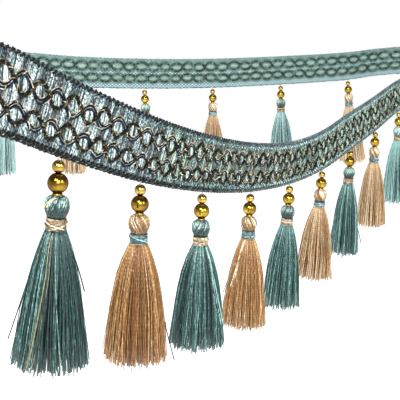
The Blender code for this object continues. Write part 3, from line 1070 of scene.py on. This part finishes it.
# How much longer the skirt of each tassel is cut, in mm
SKIRT_EXTRA = (0, 0, 0, 0, 3, 0, 5, 3, 6, 0, 3, 6, 3, 0, 0, 0, 4)
SKIRT_LOCKS = 15
# The first skirt opens in less of a bell than the others, and is drawn into deeper locks, in radians
FIRST_BELLY = 0.34
SKIRT_BELLY = 0.52
FIRST_DRAW = 0.14
SKIRT_DRAW = 0.07
# The yarns crowd towards the outside, and the outer ones end a little higher
SKIRT_CROWD = 1.35
SKIRT_SHORTER = 0.035
# Painted sheen: how much lighter the yarn is drawn at the neck and how far down this reaches; and how light
# its ends are
FIRST_NECK_SHEEN = 0.10
TEAL_NECK_SHEEN = 0.24
CHAMPAGNE_NECK_SHEEN = 0.14
NECK_SHEEN_REACH = 0.12
END_GLOW = 0.06
# How much the yarns of one skirt differ; those of the near teal ones differ more
SKIRT_SPREAD = 0.16
NEAR_TEAL_SPREAD = 0.29
GOLDEN_ANGLE = math.pi * (3 - math.sqrt(5))


def bell_at(share, belly):
    """How far a skirt has opened at a share of its length, from 0 at the neck to 1 at its end."""
    return belly * (1 - (1 - share) ** 4) + (1 - belly) * share


def skirt_paths(hanging, count, long, belly, drawn_in):
    """The yarns of one skirt, drawn together into locks, and the painted shade each gets for lying deep
    inside it.
    """
    bell = bell_at(SKIRT_STEPS, belly)
    lock_turn = chance.uniform(0, math.tau)
    paths = []
    depths = []
    for k in range(count):
        share = math.sqrt((k + 0.5) / count)
        share = 1 - (1 - share) ** SKIRT_CROWD
        angle = k * GOLDEN_ANGLE
        drawn = angle + drawn_in * np.sin(SKIRT_LOCKS * angle + lock_turn) * SKIRT_STEPS
        drawn = drawn + chance.normal(0, 0.05) * SKIRT_STEPS
        out = share * (SKIRT_NECK + (hanging.skirt - SKIRT_NECK) * bell)
        out = out + chance.normal(0, SKIRT_STRAY, len(bell)) * SKIRT_STEPS
        sway = SKIRT_SWAY * np.sin(SKIRT_STEPS * chance.uniform(3, 7) + chance.uniform(0, math.tau))
        yarn_long = long * (1 - SKIRT_SHORTER * share ** 2) + chance.normal(0, SKIRT_UNEVEN)
        fall = SKIRT_TOP - yarn_long * SKIRT_STEPS
        x = out * np.cos(drawn) + sway * SKIRT_STEPS
        y = out * np.sin(drawn) + sway * SKIRT_STEPS * 0.5
        paths.append(hanging.lay(np.column_stack([x, y, fall])))
        # Painted shade: the deeper a yarn lies inside the skirt, the darker it is drawn
        depths.append(np.full(len(bell), min(0.9, 2.5 * (1 - share))))
    return paths, depths


for number, hanging in enumerate(hangings, 1):
    first = number == 1
    near = number <= NEAR_SKIRTS
    teal = pale_teal if hanging in hangings[FIRST_BACK:] else teal_yarn
    champagne = champagne_yarn if near else sand_yarn
    yarn, slot = (teal, "teal_yarn") if hanging.odd else (champagne, "champagne_yarn")
    count, thickness = NEAR_YARNS if near else FAR_YARNS
    belly, drawn_in = (FIRST_BELLY, FIRST_DRAW) if first else (SKIRT_BELLY, SKIRT_DRAW)
    long = SKIRT_LONG + SKIRT_EXTRA[number - 1] * MM
    paths, depths = skirt_paths(hanging, count, long, belly, drawn_in)
    radii = [thickness * (0.85 + 0.2 * SKIRT_STEPS)] * len(paths)
    # Painted sheen near the neck, and the ends a little lighter
    glow = FIRST_NECK_SHEEN if first else TEAL_NECK_SHEEN if hanging.odd else CHAMPAGNE_NECK_SHEEN
    glow = glow * np.exp(-SKIRT_STEPS / NECK_SHEEN_REACH) + END_GLOW * SKIRT_STEPS ** 4
    spread = NEAR_TEAL_SPREAD if near and hanging.odd else SKIRT_SPREAD
    tints = [np.clip(tint + glow, 0, 1) for tint in chance.normal(hanging.tone, spread, len(paths))]
    skirt = lay_strands(f"skirt_{hanging.name}", paths, radii, tints, yarn, depths)
    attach(skirt, "root")
    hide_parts(f"tassel_{hanging.name}")


# Loose yarns
# A few yarns have slipped out of their locks. Cream ones cross the first head and run down the
# first skirt, and single ones stand off the skirts at their sides.
LOOSE_STRAY = 0.7 * MM
LOOSE_RISE = 0.3 * MM
LOOSE_SPREAD = 0.12
# How far the yarns of a bundle part at its start, and at its end on a skirt and on a head
START_PARTING = 0.3
SKIRT_PARTING = 2.2
HEAD_PARTING = 0.8
drab_cream = tassel_finish("drab_cream_yarn", (62, 60, 42), (134, 130, 98), (222, 214, 176), 0.8)
LOOSE_YARNS = (
    # tassel, yarn, how many, radius in mm, how light, and the path across and down the front in mm
    (1, drab_cream, 6, 0.24, 0.85, ((0.4, -19.4), (-1.6, -20.4), (-3.1, -22.0), (-3.7, -24.0))),
    (1, drab_cream, 2, 0.17, 0.46, ((-0.6, -35), (-1.5, -41), (-1.8, -53), (-4.5, -77), (-8.2, -98))),
    (1, drab_cream, 3, 0.15, 0.26, ((-1.6, -50), (-4.6, -72), (-9.4, -98))),
    (1, CORD_YARNS["navy"], 1, 0.36, 0.30, ((-9.0, -50), (-12.6, -62), (-16.2, -75), (-19.7, -87))),
    (1, CORD_YARNS["navy"], 1, 0.30, 0.30, ((8.0, -44), (11.4, -53), (14.2, -62))),
    (2, champagne_yarn, 1, 0.28, 0.50, ((7.0, -46), (12.1, -58), (15.7, -84))),
    (3, teal_yarn, 3, 0.28, 1.00, ((3.2, -35), (5.0, -41), (9.6, -62), (14.2, -84))),
    (3, CORD_YARNS["navy"], 1, 0.34, 0.30, ((-19.6, -84), (-19.1, -88), (-16.4, -96.3), (-13.0, -104.7))),
    (4, CORD_YARNS["cream"], 5, 0.28, 0.95, ((-2.2, -35), (-3.4, -40), (-6.5, -55), (-9.2, -68))),
    (4, drab_cream, 2, 0.34, 0.50, ((-7.6, -50), (-10.6, -61), (-13.4, -74))),
    (7, CORD_YARNS["navy"], 1, 0.40, 0.40, ((9.0, -66), (12.4, -78), (16.7, -92))),
)
for order, (number, yarn, count, radius, tint, places) in enumerate(LOOSE_YARNS, 1):
    hanging = hangings[number - 1]
    across, fall = np.array(places, float).T * MM
    share = np.clip((SKIRT_TOP - fall) / SKIRT_LONG, 0, 1)
    around = SKIRT_NECK + (hanging.skirt - SKIRT_NECK) * bell_at(share, FIRST_BELLY)
    head = np.interp(-fall, -HEAD_LINE[:, 1], HEAD_LINE[:, 0])
    around = np.where(fall > SKIRT_TOP, head, around)
    front = -np.sqrt(np.clip(around ** 2 - across ** 2, 0, None)) - LOOSE_RISE
    line = spline_through(np.column_stack([across, front, fall]))[::6]
    end_parting = SKIRT_PARTING if fall[-1] < SKIRT_TOP else HEAD_PARTING
    parting = np.linspace(START_PARTING, end_parting, len(line)) * (count > 1)
    paths = []
    for stray in chance.normal(0, LOOSE_STRAY, count):
        aside = stray * parting
        paths.append(hanging.lay(line + np.column_stack([aside, aside * 0.2, aside * 0])))
    tints = np.clip(chance.normal(tint, LOOSE_SPREAD, count), 0, 1)
    loose = lay_strands(f"loose_{hanging.name}_{order}", paths, [radius * MM] * count, tints, yarn)
    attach(loose, "root")


# Last update of the view layer
bpy.context.view_layer.update()
